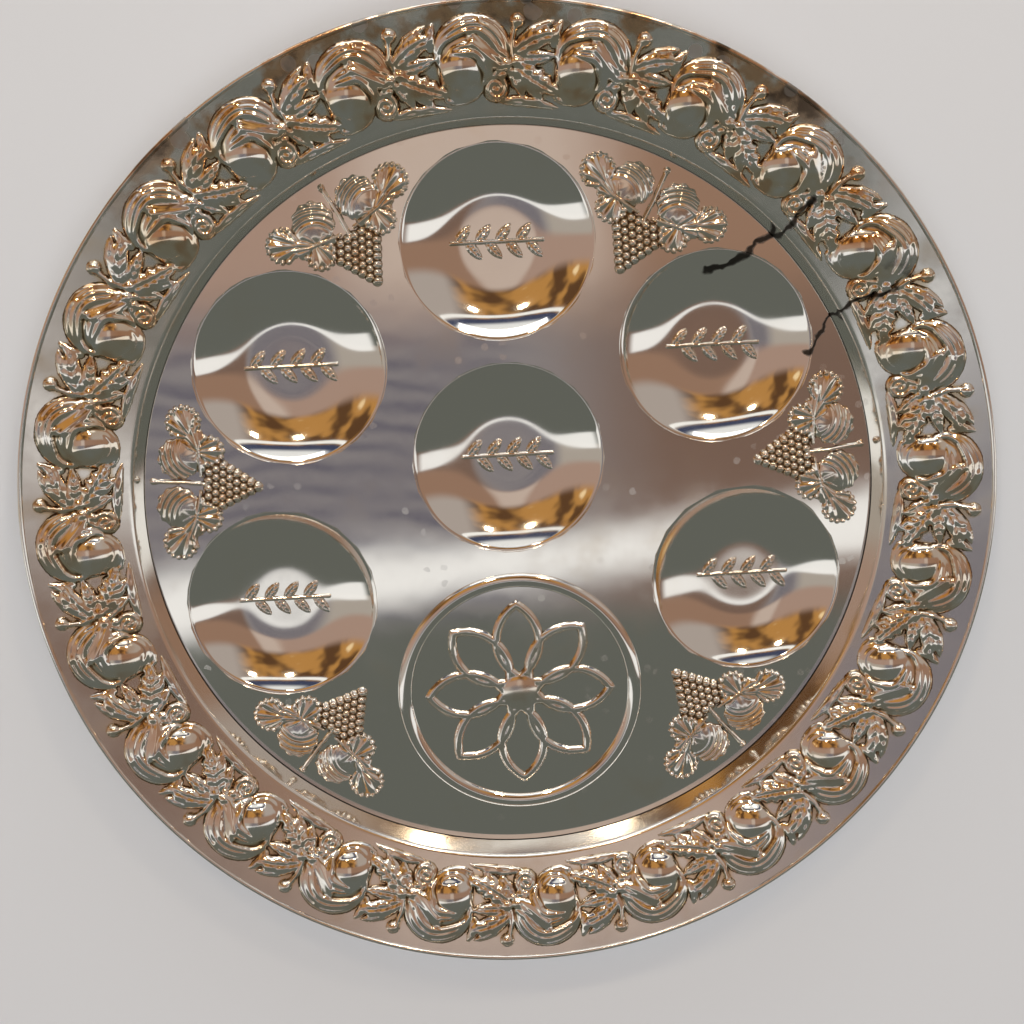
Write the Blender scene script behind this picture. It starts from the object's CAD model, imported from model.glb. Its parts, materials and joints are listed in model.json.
import bpy
import json
import numpy as np
from math import cos, pi, radians, sin, sqrt
from mathutils import Matrix, Vector
from mathutils.geometry import delaunay_2d_cdt

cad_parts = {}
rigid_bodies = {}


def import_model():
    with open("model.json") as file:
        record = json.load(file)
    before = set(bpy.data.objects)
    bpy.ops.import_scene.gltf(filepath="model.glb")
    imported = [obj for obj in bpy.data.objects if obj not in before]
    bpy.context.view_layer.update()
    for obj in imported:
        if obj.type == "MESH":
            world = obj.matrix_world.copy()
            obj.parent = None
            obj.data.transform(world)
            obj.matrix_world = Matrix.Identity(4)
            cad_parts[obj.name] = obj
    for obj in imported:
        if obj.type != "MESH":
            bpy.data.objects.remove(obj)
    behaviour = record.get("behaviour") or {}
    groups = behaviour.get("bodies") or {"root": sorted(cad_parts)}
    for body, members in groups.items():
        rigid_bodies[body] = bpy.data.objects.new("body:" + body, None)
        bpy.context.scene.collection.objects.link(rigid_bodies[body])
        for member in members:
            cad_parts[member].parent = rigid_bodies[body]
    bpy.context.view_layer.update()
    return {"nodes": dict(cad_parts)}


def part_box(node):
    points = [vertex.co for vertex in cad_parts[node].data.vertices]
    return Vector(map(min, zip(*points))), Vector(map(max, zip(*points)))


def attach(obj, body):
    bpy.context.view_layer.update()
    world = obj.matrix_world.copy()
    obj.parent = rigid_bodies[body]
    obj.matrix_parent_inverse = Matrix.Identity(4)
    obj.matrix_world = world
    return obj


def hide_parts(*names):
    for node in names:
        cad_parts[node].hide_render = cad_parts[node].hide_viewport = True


# Silver-plated seder plate, lying flat on a pale floor and seen from above.
# Sizes are in millimetres until a mesh is made; X to the right, Y to the top well, Z off the face.

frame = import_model()
MM = 0.001


def box_mm(node):
    """Lowest and highest corner of a node, in millimetres."""
    low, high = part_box(node)
    return np.array(low) / MM, np.array(high) / MM


# Sizes taken from the frame
field_low, field_high = box_mm("field_plate")
rim_low, rim_high = box_mm("rim_wire")
ring_low, ring_high = box_mm("medallion_ring")
field_top = field_high[2]
sheet = field_high[2] - field_low[2]
field_radius = (field_high[0] - field_low[0]) / 2
plate_radius = min(rim_high[0], -rim_low[0])
wire = (rim_high[2] - rim_low[2]) / 2
rim_height = (rim_high[2] + rim_low[2]) / 2
medallion_centre = ((ring_low + ring_high) / 2)[:2]
WELLS = ("top", "upper_left", "upper_right", "centre", "lower_left", "lower_right")
well_spots = {}
for name in WELLS:
    low, high = box_mm("well_" + name)
    well_spots[name] = ((low + high) / 2)[:2]

# Sizes of the parts that the frame's boxes don't give
well_radius = 35.9
well_shoulder = 2.0
well_slope = radians(40)
well_seat = field_top - sheet
shoulder_radius = well_radius - well_shoulder * sin(well_slope)
shoulder_height = well_seat - well_shoulder * (1 - cos(well_slope))
hollow_radius = (shoulder_height - sheet) / (1 - cos(well_slope))
hollow_reach = hollow_radius * sin(well_slope)
flange_lap = 2.4
verge_radius = 140.0
verge_top = field_top + 10.5
verge_round = 2.0
foot_lap = 2.4
field_clearance = 0.15       # gap between the field's edge and the border's wall
lip = 0.56                   # rounding of the field's hole edges
spray_place = 92.5           # where the vine sprays start, from the plate's axis
well_pitch = 56.0            # degrees from one outer well to the next
blossom_count = 24
blossom_start = -3.7         # degrees clockwise from the top
bulb_circle = plate_radius - 23.0
band_slope = np.arctan2(rim_height + sheet / 2 - verge_top, plate_radius - wire - verge_radius)


# Meshes

def piece(name, points, faces, node, sharp=35.0, hollow=None):
    """Mesh object in metres that rides on the plate and stands for a node."""
    mesh = bpy.data.meshes.new(name)
    mesh.from_pydata((np.asarray(points) * MM).tolist(), [], faces)
    mesh.polygons.foreach_set("use_smooth", np.ones(len(mesh.polygons), dtype=bool))
    mesh.set_sharp_from_angle(angle=radians(sharp))
    if hollow is not None:
        mesh.attributes.new("hollow", "FLOAT", "POINT").data.foreach_set("value", hollow.astype(np.float32))
    made = bpy.data.objects.new(name, mesh)
    bpy.context.scene.collection.objects.link(made)
    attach(made, "root")
    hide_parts(node)


def arc(centre, radius, start, end, count):
    """Points on a circle in a section, angles in radians."""
    angles = np.linspace(start, end, count)
    return np.column_stack([centre[0] + radius * np.cos(angles), centre[1] + radius * np.sin(angles)])


def turned(section, segments, centre=(0.0, 0.0), closed=True):
    """Points and faces of a section, given as radius and height, turned about an upright axis."""
    section = np.asarray(section, dtype=float)
    count = len(section)
    turn = np.linspace(0, 2 * pi, segments, endpoint=False)
    radius = section[:, 0]
    x = centre[0] + radius[None, :] * np.sin(turn)[:, None]
    y = centre[1] + radius[None, :] * np.cos(turn)[:, None]
    z = np.broadcast_to(section[:, 1][None, :], x.shape)
    points = np.stack([x, y, z], axis=-1).reshape(-1, 3)
    here = np.arange(segments)[:, None] * count
    there = ((np.arange(segments) + 1) % segments)[:, None] * count
    first = np.arange(count if closed else count - 1)[None, :]
    second = (first + 1) % count
    faces = np.stack([here + first, here + second, there + second, there + first], axis=-1).reshape(-1, 4)
    return points, faces.tolist()


def grid_faces(keep):
    """Quads of a grid whose mask of kept cells is given, with the points that they use renumbered."""
    rows, columns = keep.shape
    index = np.arange((rows + 1) * (columns + 1)).reshape(rows + 1, columns + 1)
    quads = np.stack([index[:-1, :-1], index[:-1, 1:], index[1:, 1:], index[1:, :-1]], axis=-1)[keep]
    used, flat = np.unique(quads, return_inverse=True)
    return used, flat.reshape(-1, 4)


def softened(height, step, reach):
    """Height smoothed over about the given reach, wrapping round at the edges."""
    fx = np.fft.fftfreq(height.shape[1], step)
    fy = np.fft.fftfreq(height.shape[0], step)
    keep = np.exp(-2 * (pi * reach) ** 2 * (fx[None, :] ** 2 + fy[:, None] ** 2))
    return np.real(np.fft.ifft2(np.fft.fft2(height) * keep))


# Relief shapes: each gives heights over a grid of x and y, with -1 where there is nothing

NOTHING = -1.0


def dome(x, y, cx, cy, rx, ry, height):
    """Round or oval boss."""
    inside = 1 - ((x - cx) / rx) ** 2 - ((y - cy) / ry) ** 2
    return np.where(inside > 0, height * np.sqrt(np.maximum(inside, 0)), NOTHING)


def leaf(x, y, base, tip, width, height, bend=0.0, teeth=0, veins=3):
    """Leaf with a sunk midrib, side veins and, if asked, a toothed edge."""
    base, tip = np.array(base), np.array(tip)
    length = np.linalg.norm(tip - base)
    ahead = (tip - base) / length
    along = ((x - base[0]) * ahead[0] + (y - base[1]) * ahead[1]) / length
    across = (x - base[0]) * ahead[1] - (y - base[1]) * ahead[0]
    place = np.clip(along, 0.001, 0.999)
    across = across - bend * np.sin(pi * place)
    half = width / 2 * np.sin(pi * place ** 0.8) ** 0.58
    if teeth:
        half = half * (1 + 0.30 * np.abs(np.sin(pi * teeth * place)) - 0.12)
    share = np.abs(across) / np.maximum(half, 1e-3)
    crown = height * np.sqrt(np.maximum(1 - share ** 2, 0)) * (0.55 + 0.45 * np.sin(pi * place) ** 0.5)
    crown -= 0.26 * height * np.exp(-(across / 0.6) ** 2)
    if veins:
        groove = (1 - np.abs(np.sin(pi * (veins * place - 0.7 * share)))) ** 2
        crown -= 0.16 * height * groove * (share < 0.95)
    return np.where((along > 0) & (along < 1) & (share < 1), np.maximum(crown, 0.1), NOTHING)


def stalk(x, y, points, radius, height):
    """Rounded cord along a line of points."""
    nearest = np.full(x.shape, 1e9)
    for (x0, y0), (x1, y1) in zip(points[:-1], points[1:]):
        dx, dy = x1 - x0, y1 - y0
        share = np.clip(((x - x0) * dx + (y - y0) * dy) / (dx * dx + dy * dy), 0, 1)
        nearest = np.minimum(nearest, np.hypot(x - x0 - share * dx, y - y0 - share * dy))
    inside = 1 - (nearest / radius) ** 2
    return np.where(inside > 0, height * np.sqrt(np.maximum(inside, 0)), NOTHING)


def spiral(cx, cy, outer, inner, turns, start):
    """Points of a curl that winds in."""
    share = np.linspace(0, 1, 60)
    radius = outer + (inner - outer) * share
    angle = start - 2 * pi * turns * share
    return list(zip(cx + radius * np.cos(angle), cy + radius * np.sin(angle)))


# Border pattern: one blossom and its leaf spray, x clockwise and y outward from the bulb's centre

def petal(x, y, body, opening, height, layers, depth, waves):
    """Petal that wraps the bulb: a dome cut away inside a wavy lip, in layers along its crescent."""
    (bx, by, reach), (lx, ly, mouth) = body, opening
    from_edge = reach - np.hypot(x - bx, y - by)
    lip_wave = 1 + 0.04 * np.cos(waves * np.arctan2(y - ly, x - lx))
    past_lip = np.hypot(x - lx, y - ly) - mouth * lip_wave
    width = np.maximum(past_lip + from_edge, 0.01)
    sway = 0.45 * np.sin(2.3 * np.arctan2(y - ly, x - lx) + layers)
    crease = 1 - np.abs(np.sin(pi * layers * np.clip(past_lip / width, 0, 1) + sway))
    share = np.clip(1 - from_edge / reach, 0, 1)
    shape = height * np.sqrt(1 - share ** 2) - depth * np.clip(width / 5, 0, 1) * crease ** 1.5
    shape += 0.25 * np.exp(-(past_lip / 0.9) ** 2)
    return np.where((from_edge > 0) & (past_lip > 0), np.maximum(shape, 0.1), NOTHING)


def fold(x, y, base, tip, width, height, bend, low, high):
    """Fold that lies on a petal and comes down from one height to another."""
    dx, dy = tip[0] - base[0], tip[1] - base[1]
    along = np.clip(((x - base[0]) * dx + (y - base[1]) * dy) / (dx * dx + dy * dy), 0, 1)
    shape = leaf(x, y, base, tip, width, height, bend, veins=0)
    return np.where(shape > 0, shape + high + (low - high) * along, NOTHING)


def blossom_heights(x, y):
    """Bulb in lapped petals, folds that run to the calyx, volute, lower petal and the low leaf."""
    under_ribs = 0.22 * np.cos(2 * pi * np.hypot(x - 0.4, y + 3.6) / 1.9)
    under = dome(x, y, 0.4, -3.6, 8.4, 8.4, 2.3)
    layers = [
        dome(x, y, 0.0, -0.4, 8.0, 8.0, 4.2),
        np.where(under > 0, np.maximum(under + under_ribs, 0.1), NOTHING),
        dome(x, y, 3.4, 3.2, 11.2, 11.2, 2.1),
        petal(x, y, (4.5, 5.5, 13.2), (2.9, 1.9, 10.1), 3.6, 3, 1.0, 5),
        petal(x, y, (4.0, 2.5, 9.6), (-0.6, -3.2, 8.6), 4.2, 3, 1.0, 7),
        fold(x, y, (6.5, 17.6), (16.8, 3.2), 4.4, 1.5, 2.6, 1.6, 1.0),
        fold(x, y, (3.2, 13.4), (16.0, 1.8), 3.8, 1.4, 2.0, 1.9, 2.0),
        fold(x, y, (3.6, 9.8), (15.8, -1.0), 4.0, 1.2, 1.2, 1.8, 3.2),
        dome(x, y, 15.8, 1.0, 2.5, 2.5, 3.1),
        dome(x, y, 17.4, -1.4, 1.6, 1.6, 2.3),
        dome(x, y, 14.7, -2.6, 1.7, 1.7, 2.4),
        dome(x, y, 12.1, -7.2, 5.2, 5.2, 1.1),
        stalk(x, y, spiral(12.1, -7.2, 4.3, 0.5, 1.8, radians(100)), 1.0, 2.0),
        leaf(x, y, (12.6, -11.6), (36.0, -13.3), 4.0, 1.6, bend=-0.6),
    ]
    return np.maximum.reduce(layers)


def leaf_heights(x, y):
    """Smooth upper leaves, toothed leaves, narrow leaves, tail and the bud on its stalk."""
    layers = [
        leaf(x, y, (18.0, 4.2), (33.8, 12.4), 7.6, 2.5, bend=-1.2, veins=4),
        leaf(x, y, (19.6, 7.0), (31.4, 16.2), 4.6, 1.9, bend=-0.6, veins=4),
        leaf(x, y, (19.4, 3.2), (33.0, 4.6), 5.8, 2.4, bend=0.5, veins=5),
        leaf(x, y, (18.4, 1.2), (35.4, -8.2), 8.0, 2.8, bend=0.8, teeth=5, veins=6),
        leaf(x, y, (17.2, -1.0), (22.8, -10.0), 4.8, 2.1, teeth=3),
        leaf(x, y, (21.5, -4.0), (30.0, -11.2), 4.2, 1.8, teeth=3),
        stalk(x, y, [(33.8, -7.0), (34.8, -10.2), (38.0, -11.4), (42.0, -11.2)], 0.9, 1.2),
        stalk(x, y, [(18.4, 3.6), (18.0, 9.0), (18.8, 13.6)], 1.0, 2.0),
        dome(x, y, 19.6, 15.4, 2.3, 2.6, 2.5),
        dome(x, y, 19.6, 1.8, 2.4, 2.4, 2.6),
        leaf(x, y, (-9.4, 6.4), (-7.4, 16.8), 3.8, 1.6, bend=-0.8, veins=3),
    ]
    return np.maximum.reduce(layers)


RELIEF_STEP = 0.36
SUNK = -0.12                 # depth of a relief's edge below the sheet that carries it
pattern_pitch = 2 * pi * bulb_circle / blossom_count
pattern_start = -10.4        # where one repeat begins, before its bulb


def wrapped(grid):
    """Grid whose last column repeats its first."""
    return np.column_stack([grid, grid[:, 0]])


def border_pattern():
    """One repeat as a grid: places, heights, where the leaves lie and how hollow it is."""
    columns = int(round(pattern_pitch / RELIEF_STEP))
    x_line = pattern_start + np.arange(columns) * pattern_pitch / columns
    y_line = np.arange(-15.6, 18.9, RELIEF_STEP)
    x, y = np.meshgrid(x_line, y_line)
    blossoms = np.full(x.shape, NOTHING)
    leaves = np.full(x.shape, NOTHING)
    for shift in (-pattern_pitch, 0.0, pattern_pitch):
        blossoms = np.maximum(blossoms, blossom_heights(x - shift, y))
        leaves = np.maximum(leaves, leaf_heights(x - shift, y))
    highest = np.maximum(blossoms, leaves)
    height = softened(np.maximum(highest, 0), RELIEF_STEP, 0.40)
    sunk = (softened(height, RELIEF_STEP, 1.1) - height) / 0.5
    low = np.clip(1 - height / 1.6, 0, 1) * 0.45
    return {
        "x": wrapped(x) + np.append(np.zeros(columns), pattern_pitch),
        "y": wrapped(y),
        "height": wrapped(np.where(highest > 0, np.maximum(height, 0.02), SUNK)),
        "raised": wrapped(highest > 0),
        "leaf": wrapped(leaves > blossoms),
        "hollow": wrapped(np.clip(sunk + low, 0, 1)),
        "foot": wrapped(np.clip(softened(height, RELIEF_STEP, 1.3) / 1.1, 0, 1)),
    }


def border_relief(pattern):
    """Blossoms and leaves, carried round the band."""
    raised = pattern["raised"]
    cell = raised[:-1, :-1] | raised[:-1, 1:] | raised[1:, :-1] | raised[1:, 1:]
    cell_leaf = pattern["leaf"][:-1, :-1] & cell
    for node, keep in (("border_blossoms", cell & ~cell_leaf), ("border_leaves", cell_leaf)):
        used, quads = grid_faces(keep)
        x, y, height, hollow = (pattern[key].ravel()[used] for key in ("x", "y", "height", "hollow"))
        radius = bulb_circle + y * cos(band_slope) - height * sin(band_slope)
        base = verge_top + (bulb_circle - verge_radius) * np.tan(band_slope)
        z = base + y * sin(band_slope) + height * cos(band_slope)
        points, faces = [], []
        for i in range(blossom_count):
            turn = radians(blossom_start + i * 360 / blossom_count) + x / bulb_circle
            points.append(np.column_stack([radius * np.sin(turn), radius * np.cos(turn), z]))
            faces.append(quads[:, ::-1] + i * len(used))
        piece(node + "_relief", np.concatenate(points), np.concatenate(faces).tolist(), node,
              sharp=60, hollow=np.tile(hollow, blossom_count))


def pattern_foot(pattern, points):
    """How close each point of the band lies to the foot of the relief."""
    radius = np.hypot(points[:, 0], points[:, 1])
    turn = np.arctan2(points[:, 0], points[:, 1]) - radians(blossom_start)
    x = (turn * bulb_circle - pattern_start) % pattern_pitch
    y = (radius - bulb_circle) / cos(band_slope)
    rows, columns = pattern["foot"].shape
    column = np.clip(np.round(x / pattern_pitch * (columns - 1)).astype(int), 0, columns - 1)
    row = np.round((y - pattern["y"][0, 0]) / RELIEF_STEP).astype(int)
    on_pattern = (row >= 0) & (row < rows) & (points[:, 2] > verge_top)
    return np.where(on_pattern, pattern["foot"][np.clip(row, 0, rows - 1), column], 0.0)


def flat_relief(name, node, height, x, y, place, turn=0.0, base=None):
    """Relief on a level seat, turned clockwise about the plate's axis from the top."""
    raised = height > 0
    keep = raised[:-1, :-1] | raised[:-1, 1:] | raised[1:, :-1] | raised[1:, 1:]
    step = x[0, 1] - x[0, 0]
    solid = np.maximum(height, 0)
    hollow = np.clip((softened(solid, step, 0.8) - solid) / 0.35, 0, 1)
    used, quads = grid_faces(keep)
    lifted = np.where(raised, height, SUNK).ravel()[used]
    flat_x, flat_y = x.ravel()[used] + place[0], y.ravel()[used] + place[1]
    floor = field_top if base is None else base(np.hypot(flat_x - place[0], flat_y - place[1]))
    angle = radians(turn)
    px = flat_x * cos(angle) + flat_y * sin(angle)
    py = -flat_x * sin(angle) + flat_y * cos(angle)
    points = np.column_stack([px, py, floor + lifted])
    piece(name, points, quads.tolist(), node, sharp=60, hollow=hollow.ravel()[used])


def vine_lobe(x, y, cx, cy, radius, height, root, arched):
    """Lobe of a vine leaf: scalloped edge, and ribs that arch over it or fan out from where it grows."""
    dx, dy = x - cx, y - cy
    share = np.hypot(dx, dy) / (radius * (1 + 0.04 * np.cos(11 * np.arctan2(dy, dx))))
    lean = np.arctan2(cy - root[1], cx - root[0])
    ahead = dx * cos(lean) + dy * sin(lean) + radius
    aside = dy * cos(lean) - dx * sin(lean)
    reach = np.hypot(ahead, aside) / (2 * radius)
    if arched:
        ribs = np.cos(2 * pi * (1 - reach) * 2 * radius / 2.0) * np.clip(4 * reach - 1.6, 0, 1)
    else:
        ribs = np.cos(13 * np.arctan2(aside, ahead)) * np.clip(3 * reach, 0, 1)
    shape = height * (0.35 + 0.65 * np.sqrt(np.maximum(1 - share ** 2, 0))) + 0.28 * ribs
    return np.where(share < 1, np.maximum(shape, 0.1), NOTHING)


def edge_beads(x, y, cx, cy, radius, root, count):
    """Small beads along the edge of a lobe, on the side away from its root."""
    lean = np.arctan2(cy - root[1], cx - root[0])
    turns = lean + np.linspace(radians(-105), radians(105), count)
    reach = 0.95 * radius
    return [dome(x, y, cx + reach * cos(turn), cy + reach * sin(turn), 0.95, 0.95, 1.9) for turn in turns]


def grape_heights(x, y):
    """Bunch of beads, two vine leaves of five lobes with beaded edges, and the stem."""
    bead, pitch = 1.4, 3.0
    rows = (4, 5, 6, 5, 4, 3, 2, 1)
    step = pitch * sqrt(3) / 2
    top = pitch + step * (len(rows) - 1)
    layers = []
    for row, count in enumerate(rows):
        for i in range(count):
            spot = (i - (count - 1) / 2) * pitch, top - row * step
            ball = dome(x, y, *spot, bead, bead, 1.35)
            layers += [dome(x, y, *spot, 2.1, 2.1, 0.9), np.where(ball > 0, ball + 0.7, NOTHING)]
    # Each lobe: x, y, radius, height and the beads along its edge
    lobes = (
        (15.8, 27.6, 5.4, 1.3, 0),
        (9.2, 32.6, 7.8, 1.7, 0),
        (22.8, 31.2, 6.3, 1.6, 11),
        (12.8, 21.5, 5.4, 1.4, 9),
        (8.6, 24.4, 4.0, 1.2, 0),
    )
    for side in (-1, 1):
        root = (side * 12.6, 25.4)
        for cx, cy, radius, height, beads in lobes:
            layers.append(vine_lobe(x, y, side * cx, cy, radius, height, root, arched=radius > 7))
            layers += edge_beads(x, y, side * cx, cy, radius, root, beads)
        layers.append(stalk(x, y, [(side * 3.0, 24.0), (side * 14.5, 25.6), (side * 21.0, 28.0)], 0.7, 1.7))
    layers.append(stalk(x, y, [(0, top), (0.4, top + 9.0), (0, top + 20.8)], 0.85, 1.2))
    layers.append(dome(x, y, 0, top + 20.8, 1.3, 1.3, 1.7))
    return np.maximum.reduce(layers)


def grape_sprays():
    """The vine spray, set between the wells."""
    step = 0.28
    x, y = np.meshgrid(np.arange(-30.2, 30.3, step), np.arange(0.0, 44.3, step))
    height = grape_heights(x, y)
    height = np.where(height > 0, np.maximum(softened(np.maximum(height, 0), step, 0.14), 0.03), NOTHING)
    for i, share in enumerate((-2.5, -1.5, -0.5, 0.5, 1.5, 2.5)):
        turn = share * well_pitch
        flat_relief(f"vine_spray_{i + 1}", f"grape_spray_{i + 1}", height, x, y, (0, spray_place), turn)


def well_floor(away):
    """Height of a well's inside at a distance from its axis: a level floor that eases into a hollow wall."""
    ease = 5.0
    wall = away - shoulder_radius + hollow_reach
    past = (wall + np.hypot(wall, ease)) * hollow_reach / (hollow_reach + np.hypot(hollow_reach, ease))
    return sheet + hollow_radius - np.sqrt(hollow_radius ** 2 - past ** 2)


def sprigs():
    """Twig with leaves to left and right, on each well's floor."""
    step = 0.24
    x, y = np.meshgrid(np.arange(-18.6, 18.7, step), np.arange(-7.2, 7.3, step))
    parts = [stalk(x, y, [(-17.0, 0), (17.0, 0)], 0.85, 1.0)]
    for i in range(8):
        side = -1 if i % 2 else 1
        root = -17.0 + (i + 0.5) * 34.0 / 9
        parts.append(leaf(x, y, (root, 0), (root + 5.4, side * 6.4), 3.9, 1.2, veins=4))
    height = np.maximum.reduce(parts)
    for name in WELLS:
        flat_relief("twig_" + name, "sprig_" + name, height, x, y, well_spots[name], base=well_floor)


def medallion_flower():
    """Flower of raised, hollow petals round a boss."""
    step = 0.33
    x, y = np.meshgrid(np.arange(-37.6, 37.7, step), np.arange(-37.6, 37.7, step))
    parts = [dome(x, y, 0, 0, 7.5, 7.5, 2.1)]
    root, length, width, line, bevel = 4.0, 33.0, 20.0, 3.4, 0.9
    for i in range(8):
        angle = radians(i * 45)
        across = x * cos(angle) - y * sin(angle)
        along = x * sin(angle) + y * cos(angle) - root - length / 2
        reach = ((length / 2) ** 2 - (width / 2) ** 2) / width
        inside = reach + width / 2 - np.hypot(np.abs(across) + reach, along)
        middle = np.abs(inside - line / 2)
        parts.append(np.where(middle < line / 2, np.clip((line / 2 - middle) / bevel, 0, 1), NOTHING))
    height = np.maximum.reduce(parts)
    rounded = softened(np.maximum(height, 0), step, 0.22)
    height = np.where(height > 0, np.maximum(rounded, 0.03), NOTHING)
    flat_relief("medallion_flower", "medallion_ornament", height, x, y, medallion_centre)


def over_well(spot):
    """Whether a place on the field lies over a well."""
    return any(np.hypot(*(spot - centre)) < well_radius for centre in well_spots.values())


def field_sheet():
    """Flat sheet with the well holes, their upper edges rounded."""
    outlines = [((0.0, 0.0), field_radius, 720)]
    outlines += [(spot, well_radius + lip, 288) for spot in well_spots.values()]
    flat, edges = [], []
    for (cx, cy), radius, count in outlines:
        turn = np.linspace(0, 2 * pi, count, endpoint=False)
        first = len(flat)
        flat += [Vector((cx + radius * sin(a), cy + radius * cos(a))) for a in turn]
        edges += [(first + i, first + (i + 1) % count) for i in range(count)]
    made = delaunay_2d_cdt(flat, edges, [], 1, 1e-4)
    plan = np.array([(v.x, v.y) for v in made[0]])
    triangles = [tuple(face) for face in made[2] if not over_well(plan[list(face)].mean(axis=0))]
    top = np.column_stack([plan, np.full(len(plan), field_top)])
    under = np.column_stack([plan, np.full(len(plan), field_top - sheet)])
    points = [top, under]
    faces = triangles + [tuple(i + len(plan) for i in reversed(face)) for face in triangles]
    count = 2 * len(plan)
    edge = [(field_radius, field_top), (field_radius, field_top - sheet)]
    sections = [(edge, 720, (0.0, 0.0))]
    rounded = arc((well_radius + lip, field_top - lip), lip, pi / 2, pi, 7)
    below = [(well_radius, field_top - sheet), (well_radius + lip, field_top - sheet)]
    rounded = np.concatenate([rounded, below])
    sections += [(rounded, 288, spot) for spot in well_spots.values()]
    for section, segments, spot in sections:
        more, quads = turned(section, segments, spot, closed=False)
        points.append(more)
        faces += [tuple(i + count for i in quad) for quad in quads]
        count += len(more)
    piece("field_sheet", np.concatenate(points), faces, "field_plate")


def beside(points, distance):
    """Line beside a bent line in a section, to its right, with mitred corners."""
    points = np.asarray(points, dtype=float)
    ahead = np.diff(points, axis=0)
    angle = np.unwrap(np.arctan2(ahead[:, 1], ahead[:, 0]))
    before = np.concatenate([angle[:1], angle])
    after = np.concatenate([angle, angle[-1:]])
    middle = (before + after) / 2 - pi / 2
    step = distance / np.cos((after - before) / 2)
    return points + step[:, None] * np.column_stack([np.cos(middle), np.sin(middle)])


def well_bowls():
    """Wells: flange, rounded shoulder, hollow wall and level floor, both faces."""
    bend = (well_radius, well_seat - well_shoulder)
    inward = np.linspace(shoulder_radius, 0.02, 64)[1:]
    upper = np.concatenate([
        [(well_radius + flange_lap, well_seat)],
        arc(bend, well_shoulder, pi / 2, pi / 2 + well_slope, 14),
        np.column_stack([inward, well_floor(inward)]),
    ])
    section = np.concatenate([upper, beside(upper, -sheet)[::-1]])
    for name in WELLS:
        points, faces = turned(section, 288, well_spots[name])
        piece("bowl_" + name, points, faces, "well_" + name)


def border_sheet(pattern):
    """Foot, leaning wall, rounded verge and flared band."""
    seat = field_top - sheet
    foot = field_radius + field_clearance
    wall = np.arctan2(verge_top - seat, verge_radius - foot)
    turn = wall - band_slope
    back = verge_round * np.tan(turn / 2)
    start = (verge_radius - back * cos(wall), verge_top - back * sin(wall))
    centre = (start[0] + verge_round * sin(wall), start[1] - verge_round * cos(wall))
    curve = arc(centre, verge_round, wall + pi / 2, band_slope + pi / 2, 14)
    end = np.array([plate_radius - wire, rim_height + sheet / 2])
    band = curve[-1] + np.linspace(0, 1, 64)[1:, None] * (end - curve[-1])
    foot_line = [(foot - foot_lap, seat), (foot, seat)]
    upper = np.concatenate([foot_line, curve, band])
    lower = beside(np.concatenate([foot_line, curve, [end]]), sheet)
    points, faces = turned(np.concatenate([upper, lower[::-1]]), 1440)
    piece("border_sheet", points, faces, "border_band", sharp=50,
          hollow=pattern_foot(pattern, points))


def rim_edge():
    """Round wire of the rim."""
    section = arc((plate_radius - wire, rim_height), wire, 0, 2 * pi * 19 / 20, 20)
    points, faces = turned(section, 900)
    piece("rim_edge", points, faces, "rim_wire", sharp=80)


def medallion_rim():
    """Half-round ring round the medallion."""
    outer = (ring_high[0] - ring_low[0]) / 2
    width, height = 5.5, ring_high[2] - ring_low[2]
    share = np.linspace(0, pi, 24)
    radius = outer - width / 2 + width / 2 * np.cos(share)
    section = np.column_stack([radius, field_top - 0.02 + height * np.sin(share)])
    points, faces = turned(section, 360, medallion_centre)
    piece("medallion_rim", points, faces, "medallion_ring", sharp=60)


# Finishes

class Knob:
    """A shader socket that takes part in Python expressions."""

    def __init__(self, tree, socket):
        self.tree = tree
        self.socket = socket

    def node(self, kind, settings=None, output=0, **values):
        """Add a node of a kind, set its settings, then fill or link its sockets by name or place."""
        made = self.tree.nodes.new(kind)
        for key, value in (settings or {}).items():
            setattr(made, key, value)
        for key, value in values.items():
            place = int(key[1:]) if key[0] == "_" else key.replace("_", " ")
            link(self.tree, made.inputs[place], value)
        return Knob(self.tree, made.outputs[output])

    def math(self, operation, *others):
        """Result of an operation on this value and, if given, others."""
        values = {f"_{i}": value for i, value in enumerate((self, *others))}
        return self.node("ShaderNodeMath", {"operation": operation}, **values)

    def __add__(self, other):
        return self.math("ADD", other)

    def __sub__(self, other):
        return self.math("SUBTRACT", other)

    def __rsub__(self, other):
        return self.node("ShaderNodeMath", {"operation": "SUBTRACT"}, _0=other, _1=self)

    def __mul__(self, other):
        return self.math("MULTIPLY", other)

    def __truediv__(self, other):
        return self.math("DIVIDE", other)

    __radd__ = __add__
    __rmul__ = __mul__

    def ramp(self, low, high):
        """Smooth step from 0 at low to 1 at high."""
        return self.node("ShaderNodeMapRange", {"interpolation_type": "SMOOTHSTEP"}, Value=self, From_Min=low,
                         From_Max=high)

    def mix(self, first, second):
        """Colour between two, by this value."""
        return self.node("ShaderNodeMix", {"data_type": "RGBA"}, output=2, _0=self, _6=first, _7=second)

    def axis(self, place):
        """One part of this vector."""
        return self.node("ShaderNodeSeparateXYZ", output=place, Vector=self)

    def noise(self, scale, detail=2.0, stretch=(1.0, 1.0, 1.0)):
        """Noise over this position, per metre."""
        moved = self.node("ShaderNodeMapping", Vector=self, Scale=tuple(scale * s for s in stretch))
        return self.node("ShaderNodeTexNoise", Vector=moved, Scale=1.0, Detail=detail)


def link(tree, socket, value):
    """Join a socket to a knob, or set its value."""
    if isinstance(value, Knob):
        tree.links.new(value.socket, socket)
    elif socket.type == "RGBA" and len(value) == 3:
        socket.default_value = (*value, 1.0)
    else:
        socket.default_value = value


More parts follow.
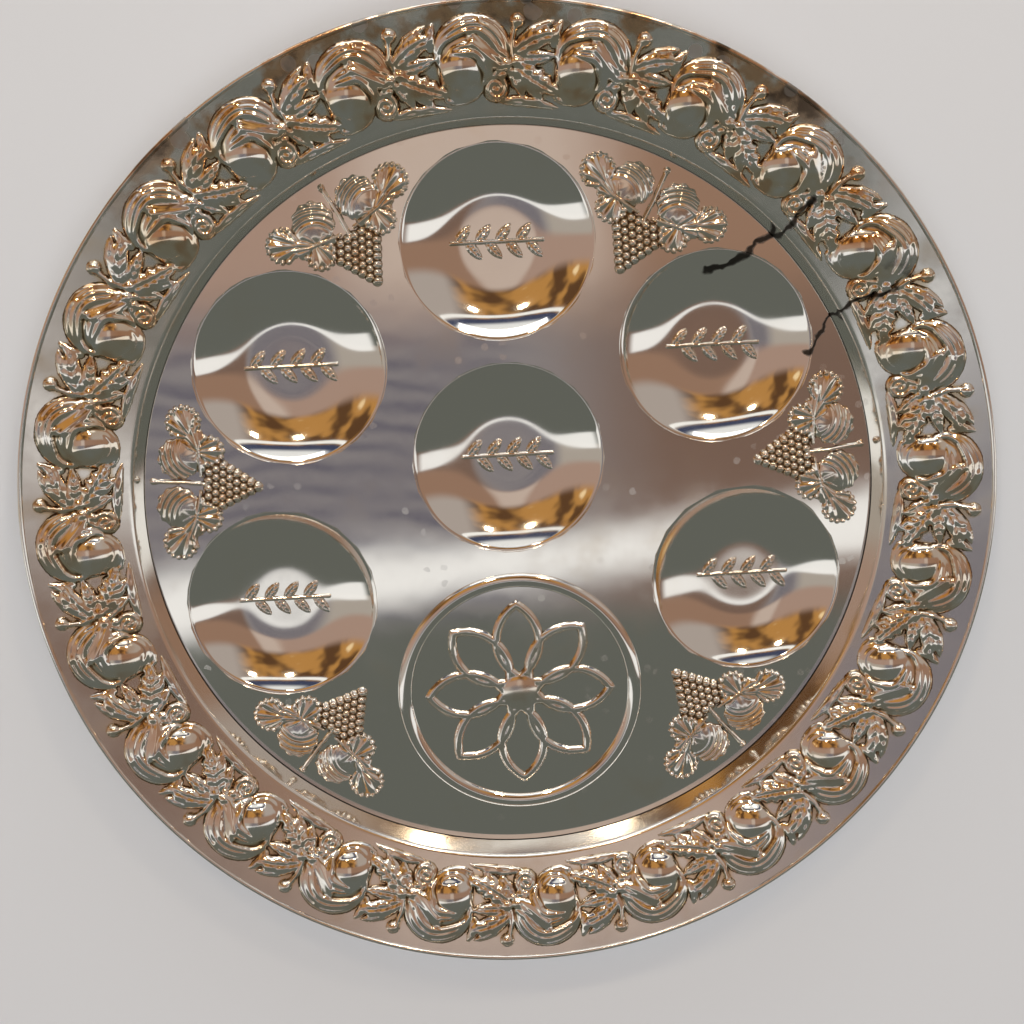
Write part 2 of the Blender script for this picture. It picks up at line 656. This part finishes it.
SILVER = (0.90, 0.885, 0.85)
SILVER_WARM = (0.84, 0.70, 0.50)
COPPER = (0.66, 0.36, 0.15)
TARNISH = (0.19, 0.11, 0.048)
TARNISH_BLACK = (0.030, 0.026, 0.022)
WATER_MARK = (0.36, 0.37, 0.36)
SPECK = (0.93, 0.90, 0.86)

# Black tarnish lines in the upper right, on the plate's X and Y
STREAKS = (
    ((113, 106), (107, 100), (103, 94), (95, 91.5), (91.7, 87), (85.5, 84), (78, 82)),
    ((142, 73), (137, 71), (127, 68), (123, 64), (119, 56), (114, 49)),
)
SMUDGE = (142.0, 77.0, 9.0)


def streak_mask(place):
    """1 on the black lines, fading out a millimetre from them, with ragged edges."""
    x = place.axis(0) / MM + (place.noise(170.0, 3.0) * 5.0 - 2.5)
    y = place.axis(1) / MM + (place.noise(140.0, 3.0) * 5.0 - 2.5)
    nearest = None
    for line in STREAKS:
        for (x0, y0), (x1, y1) in zip(line[:-1], line[1:]):
            dx, dy = x1 - x0, y1 - y0
            share = ((x - x0) * dx + (y - y0) * dy) / (dx * dx + dy * dy)
            share = share.math("MAXIMUM", 0.0)
            share = share.math("MINIMUM", 1.0)
            off_x, off_y = x - x0 - share * dx, y - y0 - share * dy
            squared = off_x * off_x + off_y * off_y
            nearest = squared if nearest is None else squared.math("MINIMUM", nearest)
    spread = place.noise(95.0, 2.0).ramp(0.42, 0.75)
    line = (nearest / (0.4 + 4.0 * spread)).ramp(1.7, 0.15)
    off_x, off_y = x - SMUDGE[0], y - SMUDGE[1]
    ragged = place.noise(130.0, 3.0).ramp(0.42, 0.62)
    smudge = (off_x * off_x + off_y * off_y).ramp(SMUDGE[2] ** 2, 0.0) * ragged
    return (line * 0.95).math("MAXIMUM", smudge * 0.7)


def upper_face(place):
    """1 on faces that look up and 0 on those that look down."""
    return place.node("ShaderNodeNewGeometry", output=1).axis(2).ramp(-0.05, 0.05)


def rim_mask(place):
    """1 in the stained strip inside the rim, round the top of the plate."""
    x, y = place.axis(0), place.axis(1)
    radius = (x * x + y * y).math("SQRT")
    return radius.ramp(0.1675, 0.174) * (y / radius).ramp(0.55, 0.85)


def water_marks(place, scale, chosen):
    """1 in rounded dried drops, of which only a chosen share shows."""
    settings = {"voronoi_dimensions": "2D"}
    drops = place.node("ShaderNodeTexVoronoi", settings, Vector=place, Scale=scale)
    picked = place.node("ShaderNodeTexVoronoi", settings, output=1, Vector=place, Scale=scale).axis(0)
    size = 0.12 + 0.3 * picked
    return (drops - size).ramp(0.03, -0.03) * picked.ramp(1 - chosen, 1.02 - chosen)


def silver(name, gloss=0.09, wave=0.0, tarnish=0.0, hollow=0.0, golden=0.0, streaks=False, rim=False,
           speckled=False):
    """Polished silver plate: hazy and, if asked, wavy, golden, brown in its hollows or marked."""
    material = bpy.data.materials.new(name)
    material.use_nodes = True
    tree = material.node_tree
    tree.nodes.clear()
    start = Knob(tree, None)
    place = start.node("ShaderNodeTexCoord", output=3)
    cloudy = place.noise(45.0, 3.0)
    fine = place.noise(420.0, 2.0)
    stain = cloudy.ramp(0.50, 0.78) * tarnish
    if hollow:
        deep = start.node("ShaderNodeAttribute", {"attribute_name": "hollow"}, output=2)
        stain = stain + deep.ramp(0.22, 0.95) * hollow
    colour = stain.ramp(0.0, 0.55).mix(SILVER, SILVER_WARM)
    if golden:
        toned = place.noise(85.0, 2.0)
        strength = (0.35 + 0.65 * place.axis(1).ramp(-0.13, 0.09)) * golden
        colour = (toned.ramp(0.36, 0.56) * strength).mix(colour, SILVER_WARM)
        colour = (toned.ramp(0.54, 0.68) * strength * 0.8).mix(colour, COPPER)
    colour = stain.ramp(0.35, 1.0).mix(colour, TARNISH)
    rough = gloss * (1.0 + 0.6 * cloudy.ramp(0.35, 0.75) + 0.4 * fine) + 0.10 * stain
    if rim:
        strip = rim_mask(place) * upper_face(place)
        blot = place.noise(55.0, 4.0)
        golden_stain = strip * blot.ramp(0.44, 0.56)
        brown = strip * blot.ramp(0.56, 0.66)
        colour = (golden_stain * 0.8).mix(colour, COPPER)
        mark = strip * water_marks(place, 120.0, 0.42)
        colour = (brown * 0.85).mix(colour, TARNISH_BLACK)
        colour = (mark * 0.6).mix(colour, WATER_MARK)
        rough = rough + 0.25 * mark + 0.1 * brown
    if speckled:
        speck = water_marks(place, 300.0, 0.03) * 0.3
        colour = speck.mix(colour, SPECK)
        rough = rough + 0.3 * speck
    if streaks:
        black = streak_mask(place) * upper_face(place)
        colour = black.mix(colour, TARNISH_BLACK)
        rough = rough + 0.3 * black
    shader = tree.nodes.new("ShaderNodeBsdfPrincipled")
    shader.inputs["Metallic"].default_value = 1.0
    link(tree, shader.inputs["Base Color"], colour)
    link(tree, shader.inputs["Roughness"], rough)
    if wave:
        swell = place.noise(11.0, 1.0) + 0.06 * place.noise(60.0, 1.0)
        bump = start.node("ShaderNodeBump", Strength=1.0, Distance=wave * MM, Height=swell)
        link(tree, shader.inputs["Normal"], bump)
    end = tree.nodes.new("ShaderNodeOutputMaterial")
    tree.links.new(shader.outputs[0], end.inputs[0])
    return material


def dress():
    """Give every piece its finish."""
    flat = silver("silver_flat", gloss=0.035, wave=0.35, tarnish=0.15, streaks=True, speckled=True)
    bowl = silver("silver_bowl", gloss=0.05, wave=0.3, tarnish=0.10)
    bowl_marked = silver("silver_bowl_marked", gloss=0.05, wave=0.3, tarnish=0.10, streaks=True)
    band = silver("silver_band", gloss=0.09, wave=0.3, tarnish=0.25, hollow=0.5, streaks=True, rim=True)
    raised = silver("silver_raised", gloss=0.065, tarnish=0.25, hollow=0.9, golden=0.7, streaks=True)
    small = silver("silver_small", gloss=0.075, tarnish=0.2, hollow=0.9, golden=0.4)
    finishes = {"field_sheet": flat, "border_sheet": band, "rim_edge": band, "medallion_rim": bowl,
                "medallion_flower": small, "bowl_upper_right": bowl_marked}
    for made in bpy.data.objects:
        if made.type != "MESH" or made.name in frame["nodes"]:
            continue
        name = made.name
        finish = finishes.get(name)
        if finish is None:
            finish = bowl if name.startswith("bowl") else raised if name.startswith("border_") else small
        made.data.materials.clear()
        made.data.materials.append(finish)
    for node in frame["nodes"].values():
        node.data.materials.clear()
        node.data.materials.append(flat)


# Studio

FLOOR_PALE = (0.70, 0.74, 0.79)
BACKGROUND = (0.72, 0.71, 0.70)

# What the metal reflects, from the near side of the room to the far side
ROOM_GREY = (0.125, 0.13, 0.112)
ROOM_MAUVE = (0.26, 0.235, 0.235)
ROOM_MAUVE_DARK = (0.075, 0.07, 0.11)
ROOM_SAND = (0.42, 0.37, 0.32)
ROOM_BROWN = (0.19, 0.12, 0.09)
CEILING_LEFT = (0.40, 0.27, 0.21)
CEILING_RIGHT = (0.31, 0.185, 0.125)
CEILING_PALE = (0.57, 0.455, 0.385)
HEARTH_DARK = (0.11, 0.052, 0.022)
HEARTH_GOLD = (0.48, 0.235, 0.065)
HEARTH_BRIGHT = (0.90, 0.66, 0.36)
HEARTH_SIDE = (0.42, 0.36, 0.32)
WALL_WHITE = (1.0, 0.97, 0.92)
WALL_BLUE = (0.05, 0.06, 0.11)
WALL_GREY = (0.84, 0.83, 0.81)
LIGHT_STRIP = (1.0, 0.98, 0.95)

def plain_material(name, colour, roughness):
    """Plain matt finish for the floor."""
    material = bpy.data.materials.new(name)
    material.use_nodes = True
    shader = material.node_tree.nodes["Principled BSDF"]
    shader.inputs["Base Color"].default_value = (*colour, 1.0)
    shader.inputs["Roughness"].default_value = roughness
    return material


def softbox(name, place, width, height, power, colour=(1.0, 1.0, 1.0)):
    """Area lamp at a place, in metres, turned to face the plate."""
    lamp = bpy.data.lights.new(name, "AREA")
    lamp.shape = "RECTANGLE"
    lamp.size, lamp.size_y = width, height
    lamp.energy = power
    lamp.color = colour
    made = bpy.data.objects.new(name, lamp)
    bpy.context.scene.collection.objects.link(made)
    made.location = place
    made.rotation_euler = (-Vector(place)).to_track_quat("-Z", "Y").to_euler()
    made.visible_camera = False
    return made


def studio():
    """Pale floor, a toned room that the metal reflects, and lamps."""
    floor_mesh = bpy.data.meshes.new("floor")
    reach = 6.0
    corners = [(-reach, -reach, 0), (reach, -reach, 0), (reach, reach, 0), (-reach, reach, 0)]
    floor_mesh.from_pydata(corners, [], [(0, 1, 2, 3)])
    floor = bpy.data.objects.new("floor", floor_mesh)
    floor.location.z = -0.0002
    bpy.context.scene.collection.objects.link(floor)
    floor_mesh.materials.append(plain_material("floor_pale", FLOOR_PALE, 0.7))

    world = bpy.data.worlds.new("room")
    bpy.context.scene.world = world
    world.use_nodes = True
    tree = world.node_tree
    tree.nodes.clear()
    toward = Knob(tree, None).node("ShaderNodeTexCoord")
    side, ahead, up = (toward.axis(place) for place in range(3))
    ripple = toward.noise(1.0, 2.0, (7.0, 14.0, 1.0))
    phase = 430.0 * ahead + 40.0 * side + 16.0 * ripple
    bands = phase.math("SINE").ramp(-0.2, 0.7) * side.ramp(0.06, -0.02) * side.ramp(-0.30, -0.16)
    mauve = (bands * 0.85).mix(ROOM_MAUVE, ROOM_MAUVE_DARK)
    mauve = side.ramp(-0.20, -0.45).mix(mauve, ROOM_SAND)
    middle = side.ramp(0.02, 0.14).mix(mauve, ROOM_BROWN)
    ceiling = side.ramp(-0.15, 0.15).mix(CEILING_LEFT, CEILING_RIGHT)
    spots = toward.noise(2.6, 2.0)
    hearth = spots.ramp(0.40, 0.54).mix(HEARTH_DARK, HEARTH_GOLD)
    hearth = spots.ramp(0.60, 0.66).mix(hearth, HEARTH_BRIGHT)
    hearth = side.ramp(0.25, 0.55).mix(hearth, HEARTH_SIDE)
    hearth = ahead.ramp(0.745, 0.765).mix(hearth, WALL_BLUE)
    hearth = ahead.ramp(0.80, 0.85).mix(hearth, WALL_GREY)
    hearth = (ahead.ramp(0.695, 0.705) * ahead.ramp(0.745, 0.735)).mix(hearth, WALL_WHITE)
    room = ahead.ramp(-0.275, -0.245).mix(ROOM_GREY, middle)
    room = ahead.ramp(-0.10, -0.02).mix(room, ceiling)
    pale = ahead.ramp(-0.09, -0.03) * side.ramp(-0.11, -0.04) * side.ramp(0.13, 0.06)
    room = (pale * 0.9).mix(room, CEILING_PALE)
    room = ahead.ramp(0.16, 0.30).mix(room, hearth)
    wide = side.math("ABSOLUTE").ramp(0.10, 0.85) * 0.07 + 0.016
    off = (ahead + 0.228 - 0.08 * side).math("ABSOLUTE")
    strip = (off - wide).ramp(0.012, -0.012) * up.ramp(0.2, 0.4)
    room = (strip * 0.9).mix(room, LIGHT_STRIP)
    camera_ray = toward.node("ShaderNodeLightPath")
    room = camera_ray.mix(room, BACKGROUND)
    shell = tree.nodes.new("ShaderNodeBackground")
    link(tree, shell.inputs[0], room)
    end = tree.nodes.new("ShaderNodeOutputWorld")
    tree.links.new(shell.outputs[0], end.inputs[0])

    softbox("softbox_far", (0.0, 1.5, 0.56), 1.6, 0.26, 2.4)
    softbox("lamp_left", (-0.28, 0.95, 1.15), 0.1, 0.1, 1.5, (1.0, 0.80, 0.55))
    softbox("lamp_right", (0.40, 0.95, 1.05), 0.1, 0.1, 1.5, (1.0, 0.82, 0.58))
    above = softbox("softbox_overhead", (0.0, 0.0, 2.0), 1.6, 1.6, 21)
    above.visible_glossy = False


FOCAL_LENGTH = 1519.8        # in pixels of a picture 1024 wide
CAMERA_PLACE = (-12.8, 108.9, 566.8)         # above the middle of the field
CAMERA_AHEAD = (0.0227, -0.1972, -0.9801)
CAMERA_UP = (0.0551, 0.9791, -0.1958)


def camera():
    """Camera at the place fitted to the photograph."""
    data = bpy.data.cameras.new("camera")
    data.sensor_width = 36.0
    data.lens = FOCAL_LENGTH / 1024 * data.sensor_width
    made = bpy.data.objects.new("camera", data)
    bpy.context.scene.collection.objects.link(made)
    ahead = Vector(CAMERA_AHEAD).normalized()
    right = ahead.cross(Vector(CAMERA_UP)).normalized()
    up = right.cross(ahead)
    turn = Matrix((right, up, -ahead)).transposed().to_4x4()
    place = Vector(CAMERA_PLACE) + Vector((0, 0, field_top))
    made.matrix_world = Matrix.Translation(place * MM) @ turn
    bpy.context.scene.camera = made


pattern = border_pattern()
field_sheet()
well_bowls()
border_sheet(pattern)
rim_edge()
medallion_rim()
border_relief(pattern)
grape_sprays()
sprigs()
medallion_flower()
dress()
studio()
camera()
bpy.context.scene.view_settings.view_transform = "Standard"
